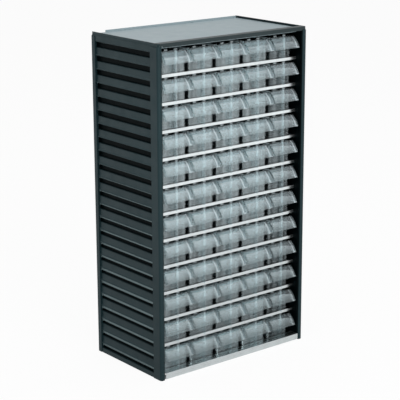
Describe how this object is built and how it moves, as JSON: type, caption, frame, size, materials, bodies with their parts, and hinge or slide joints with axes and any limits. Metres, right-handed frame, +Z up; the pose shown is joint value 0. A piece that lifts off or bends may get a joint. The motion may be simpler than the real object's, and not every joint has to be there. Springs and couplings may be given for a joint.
{
  "type": "parts bin cabinet",
  "caption": "Upright small-parts cabinet: clear pull-out drawers with hooded handles on steel shelves, between ribbed dark side panels, with a light metal top.",
  "frame": {"origin": "centre of the base, on the plane that the side panels stand on", "axes": "+X to the right seen from the front, +Y to the back, +Z up; the drawers open towards -Y"},
  "size_m": [0.31, 0.18, 0.55],
  "materials": {
    "dark_plastic": "satin moulded plastic",
    "rail_plastic": "satin moulded plastic",
    "painted_sheet": "satin light grey paint",
    "zinc_sheet": "bright zinc-plated sheet",
    "screw_steel": "plated",
    "clear_plastic": "clear polystyrene"
  },
  "bodies": {
    "cabinet": {"left_side_panel": "dark_plastic", "right_side_panel": "dark_plastic", "top_panel": "painted_sheet", "top_front_rail": "rail_plastic", "back_panel": "painted_sheet", "bottom_shelf": "zinc_sheet", "shelves": "zinc_sheet", "screws": "screw_steel"},
    "drawer_r01_c1_body": {"drawer_r01_c1": "clear_plastic"},
    "drawer_r01_c2_body": {"drawer_r01_c2": "clear_plastic"},
    "drawer_r01_c3_body": {"drawer_r01_c3": "clear_plastic"},
    "drawer_r01_c4_body": {"drawer_r01_c4": "clear_plastic"},
    "drawer_r01_c5_body": {"drawer_r01_c5": "clear_plastic"},
    "drawer_r02_c1_body": {"drawer_r02_c1": "clear_plastic"},
    "drawer_r02_c2_body": {"drawer_r02_c2": "clear_plastic"},
    "drawer_r02_c3_body": {"drawer_r02_c3": "clear_plastic"},
    "drawer_r02_c4_body": {"drawer_r02_c4": "clear_plastic"},
    "drawer_r02_c5_body": {"drawer_r02_c5": "clear_plastic"},
    "drawer_r03_c1_body": {"drawer_r03_c1": "clear_plastic"},
    "drawer_r03_c2_body": {"drawer_r03_c2": "clear_plastic"},
    "drawer_r03_c3_body": {"drawer_r03_c3": "clear_plastic"},
    "drawer_r03_c4_body": {"drawer_r03_c4": "clear_plastic"},
    "drawer_r03_c5_body": {"drawer_r03_c5": "clear_plastic"},
    "drawer_r04_c1_body": {"drawer_r04_c1": "clear_plastic"},
    "drawer_r04_c2_body": {"drawer_r04_c2": "clear_plastic"},
    "drawer_r04_c3_body": {"drawer_r04_c3": "clear_plastic"},
    "drawer_r04_c4_body": {"drawer_r04_c4": "clear_plastic"},
    "drawer_r04_c5_body": {"drawer_r04_c5": "clear_plastic"},
    "drawer_r05_c1_body": {"drawer_r05_c1": "clear_plastic"},
    "drawer_r05_c2_body": {"drawer_r05_c2": "clear_plastic"},
    "drawer_r05_c3_body": {"drawer_r05_c3": "clear_plastic"},
    "drawer_r05_c4_body": {"drawer_r05_c4": "clear_plastic"},
    "drawer_r05_c5_body": {"drawer_r05_c5": "clear_plastic"},
    "drawer_r06_c1_body": {"drawer_r06_c1": "clear_plastic"},
    "drawer_r06_c2_body": {"drawer_r06_c2": "clear_plastic"},
    "drawer_r06_c3_body": {"drawer_r06_c3": "clear_plastic"},
    "drawer_r06_c4_body": {"drawer_r06_c4": "clear_plastic"},
    "drawer_r06_c5_body": {"drawer_r06_c5": "clear_plastic"},
    "drawer_r07_c1_body": {"drawer_r07_c1": "clear_plastic"},
    "drawer_r07_c2_body": {"drawer_r07_c2": "clear_plastic"},
    "drawer_r07_c3_body": {"drawer_r07_c3": "clear_plastic"},
    "drawer_r07_c4_body": {"drawer_r07_c4": "clear_plastic"},
    "drawer_r07_c5_body": {"drawer_r07_c5": "clear_plastic"},
    "drawer_r08_c1_body": {"drawer_r08_c1": "clear_plastic"},
    "drawer_r08_c2_body": {"drawer_r08_c2": "clear_plastic"},
    "drawer_r08_c3_body": {"drawer_r08_c3": "clear_plastic"},
    "drawer_r08_c4_body": {"drawer_r08_c4": "clear_plastic"},
    "drawer_r08_c5_body": {"drawer_r08_c5": "clear_plastic"},
    "drawer_r09_c1_body": {"drawer_r09_c1": "clear_plastic"},
    "drawer_r09_c2_body": {"drawer_r09_c2": "clear_plastic"},
    "drawer_r09_c3_body": {"drawer_r09_c3": "clear_plastic"},
    "drawer_r09_c4_body": {"drawer_r09_c4": "clear_plastic"},
    "drawer_r09_c5_body": {"drawer_r09_c5": "clear_plastic"},
    "drawer_r10_c1_body": {"drawer_r10_c1": "clear_plastic"},
    "drawer_r10_c2_body": {"drawer_r10_c2": "clear_plastic"},
    "drawer_r10_c3_body": {"drawer_r10_c3": "clear_plastic"},
    "drawer_r10_c4_body": {"drawer_r10_c4": "clear_plastic"},
    "drawer_r10_c5_body": {"drawer_r10_c5": "clear_plastic"},
    "drawers_row_11_body": {"drawers_row_11": "clear_plastic"},
    "drawers_row_12_body": {"drawers_row_12": "clear_plastic"}
  },
  "joints": [
    {"name": "slide_r01_c1", "type": "slide", "parent": "cabinet", "child": "drawer_r01_c1_body", "axis": [0, -1, 0], "range_m": [0, 0.13]},
    {"name": "slide_r01_c2", "type": "slide", "parent": "cabinet", "child": "drawer_r01_c2_body", "axis": [0, -1, 0], "range_m": [0, 0.13]},
    {"name": "slide_r01_c3", "type": "slide", "parent": "cabinet", "child": "drawer_r01_c3_body", "axis": [0, -1, 0], "range_m": [0, 0.13]},
    {"name": "slide_r01_c4", "type": "slide", "parent": "cabinet", "child": "drawer_r01_c4_body", "axis": [0, -1, 0], "range_m": [0, 0.13]},
    {"name": "slide_r01_c5", "type": "slide", "parent": "cabinet", "child": "drawer_r01_c5_body", "axis": [0, -1, 0], "range_m": [0, 0.13]},
    {"name": "slide_r02_c1", "type": "slide", "parent": "cabinet", "child": "drawer_r02_c1_body", "axis": [0, -1, 0], "range_m": [0, 0.13]},
    {"name": "slide_r02_c2", "type": "slide", "parent": "cabinet", "child": "drawer_r02_c2_body", "axis": [0, -1, 0], "range_m": [0, 0.13]},
    {"name": "slide_r02_c3", "type": "slide", "parent": "cabinet", "child": "drawer_r02_c3_body", "axis": [0, -1, 0], "range_m": [0, 0.13]},
    {"name": "slide_r02_c4", "type": "slide", "parent": "cabinet", "child": "drawer_r02_c4_body", "axis": [0, -1, 0], "range_m": [0, 0.13]},
    {"name": "slide_r02_c5", "type": "slide", "parent": "cabinet", "child": "drawer_r02_c5_body", "axis": [0, -1, 0], "range_m": [0, 0.13]},
    {"name": "slide_r03_c1", "type": "slide", "parent": "cabinet", "child": "drawer_r03_c1_body", "axis": [0, -1, 0], "range_m": [0, 0.13]},
    {"name": "slide_r03_c2", "type": "slide", "parent": "cabinet", "child": "drawer_r03_c2_body", "axis": [0, -1, 0], "range_m": [0, 0.13]},
    {"name": "slide_r03_c3", "type": "slide", "parent": "cabinet", "child": "drawer_r03_c3_body", "axis": [0, -1, 0], "range_m": [0, 0.13]},
    {"name": "slide_r03_c4", "type": "slide", "parent": "cabinet", "child": "drawer_r03_c4_body", "axis": [0, -1, 0], "range_m": [0, 0.13]},
    {"name": "slide_r03_c5", "type": "slide", "parent": "cabinet", "child": "drawer_r03_c5_body", "axis": [0, -1, 0], "range_m": [0, 0.13]},
    {"name": "slide_r04_c1", "type": "slide", "parent": "cabinet", "child": "drawer_r04_c1_body", "axis": [0, -1, 0], "range_m": [0, 0.13]},
    {"name": "slide_r04_c2", "type": "slide", "parent": "cabinet", "child": "drawer_r04_c2_body", "axis": [0, -1, 0], "range_m": [0, 0.13]},
    {"name": "slide_r04_c3", "type": "slide", "parent": "cabinet", "child": "drawer_r04_c3_body", "axis": [0, -1, 0], "range_m": [0, 0.13]},
    {"name": "slide_r04_c4", "type": "slide", "parent": "cabinet", "child": "drawer_r04_c4_body", "axis": [0, -1, 0], "range_m": [0, 0.13]},
    {"name": "slide_r04_c5", "type": "slide", "parent": "cabinet", "child": "drawer_r04_c5_body", "axis": [0, -1, 0], "range_m": [0, 0.13]},
    {"name": "slide_r05_c1", "type": "slide", "parent": "cabinet", "child": "drawer_r05_c1_body", "axis": [0, -1, 0], "range_m": [0, 0.13]},
    {"name": "slide_r05_c2", "type": "slide", "parent": "cabinet", "child": "drawer_r05_c2_body", "axis": [0, -1, 0], "range_m": [0, 0.13]},
    {"name": "slide_r05_c3", "type": "slide", "parent": "cabinet", "child": "drawer_r05_c3_body", "axis": [0, -1, 0], "range_m": [0, 0.13]},
    {"name": "slide_r05_c4", "type": "slide", "parent": "cabinet", "child": "drawer_r05_c4_body", "axis": [0, -1, 0], "range_m": [0, 0.13]},
    {"name": "slide_r05_c5", "type": "slide", "parent": "cabinet", "child": "drawer_r05_c5_body", "axis": [0, -1, 0], "range_m": [0, 0.13]},
    {"name": "slide_r06_c1", "type": "slide", "parent": "cabinet", "child": "drawer_r06_c1_body", "axis": [0, -1, 0], "range_m": [0, 0.13]},
    {"name": "slide_r06_c2", "type": "slide", "parent": "cabinet", "child": "drawer_r06_c2_body", "axis": [0, -1, 0], "range_m": [0, 0.13]},
    {"name": "slide_r06_c3", "type": "slide", "parent": "cabinet", "child": "drawer_r06_c3_body", "axis": [0, -1, 0], "range_m": [0, 0.13]},
    {"name": "slide_r06_c4", "type": "slide", "parent": "cabinet", "child": "drawer_r06_c4_body", "axis": [0, -1, 0], "range_m": [0, 0.13]},
    {"name": "slide_r06_c5", "type": "slide", "parent": "cabinet", "child": "drawer_r06_c5_body", "axis": [0, -1, 0], "range_m": [0, 0.13]},
    {"name": "slide_r07_c1", "type": "slide", "parent": "cabinet", "child": "drawer_r07_c1_body", "axis": [0, -1, 0], "range_m": [0, 0.13]},
    {"name": "slide_r07_c2", "type": "slide", "parent": "cabinet", "child": "drawer_r07_c2_body", "axis": [0, -1, 0], "range_m": [0, 0.13]},
    {"name": "slide_r07_c3", "type": "slide", "parent": "cabinet", "child": "drawer_r07_c3_body", "axis": [0, -1, 0], "range_m": [0, 0.13]},
    {"name": "slide_r07_c4", "type": "slide", "parent": "cabinet", "child": "drawer_r07_c4_body", "axis": [0, -1, 0], "range_m": [0, 0.13]},
    {"name": "slide_r07_c5", "type": "slide", "parent": "cabinet", "child": "drawer_r07_c5_body", "axis": [0, -1, 0], "range_m": [0, 0.13]},
    {"name": "slide_r08_c1", "type": "slide", "parent": "cabinet", "child": "drawer_r08_c1_body", "axis": [0, -1, 0], "range_m": [0, 0.13]},
    {"name": "slide_r08_c2", "type": "slide", "parent": "cabinet", "child": "drawer_r08_c2_body", "axis": [0, -1, 0], "range_m": [0, 0.13]},
    {"name": "slide_r08_c3", "type": "slide", "parent": "cabinet", "child": "drawer_r08_c3_body", "axis": [0, -1, 0], "range_m": [0, 0.13]},
    {"name": "slide_r08_c4", "type": "slide", "parent": "cabinet", "child": "drawer_r08_c4_body", "axis": [0, -1, 0], "range_m": [0, 0.13]},
    {"name": "slide_r08_c5", "type": "slide", "parent": "cabinet", "child": "drawer_r08_c5_body", "axis": [0, -1, 0], "range_m": [0, 0.13]},
    {"name": "slide_r09_c1", "type": "slide", "parent": "cabinet", "child": "drawer_r09_c1_body", "axis": [0, -1, 0], "range_m": [0, 0.13]},
    {"name": "slide_r09_c2", "type": "slide", "parent": "cabinet", "child": "drawer_r09_c2_body", "axis": [0, -1, 0], "range_m": [0, 0.13]},
    {"name": "slide_r09_c3", "type": "slide", "parent": "cabinet", "child": "drawer_r09_c3_body", "axis": [0, -1, 0], "range_m": [0, 0.13]},
    {"name": "slide_r09_c4", "type": "slide", "parent": "cabinet", "child": "drawer_r09_c4_body", "axis": [0, -1, 0], "range_m": [0, 0.13]},
    {"name": "slide_r09_c5", "type": "slide", "parent": "cabinet", "child": "drawer_r09_c5_body", "axis": [0, -1, 0], "range_m": [0, 0.13]},
    {"name": "slide_r10_c1", "type": "slide", "parent": "cabinet", "child": "drawer_r10_c1_body", "axis": [0, -1, 0], "range_m": [0, 0.13]},
    {"name": "slide_r10_c2", "type": "slide", "parent": "cabinet", "child": "drawer_r10_c2_body", "axis": [0, -1, 0], "range_m": [0, 0.13]},
    {"name": "slide_r10_c3", "type": "slide", "parent": "cabinet", "child": "drawer_r10_c3_body", "axis": [0, -1, 0], "range_m": [0, 0.13]},
    {"name": "slide_r10_c4", "type": "slide", "parent": "cabinet", "child": "drawer_r10_c4_body", "axis": [0, -1, 0], "range_m": [0, 0.13]},
    {"name": "slide_r10_c5", "type": "slide", "parent": "cabinet", "child": "drawer_r10_c5_body", "axis": [0, -1, 0], "range_m": [0, 0.13]},
    {"name": "slide_row_11", "type": "slide", "parent": "cabinet", "child": "drawers_row_11_body", "axis": [0, -1, 0], "range_m": [0, 0.13]},
    {"name": "slide_row_12", "type": "slide", "parent": "cabinet", "child": "drawers_row_12_body", "axis": [0, -1, 0], "range_m": [0, 0.13]}
  ]
}
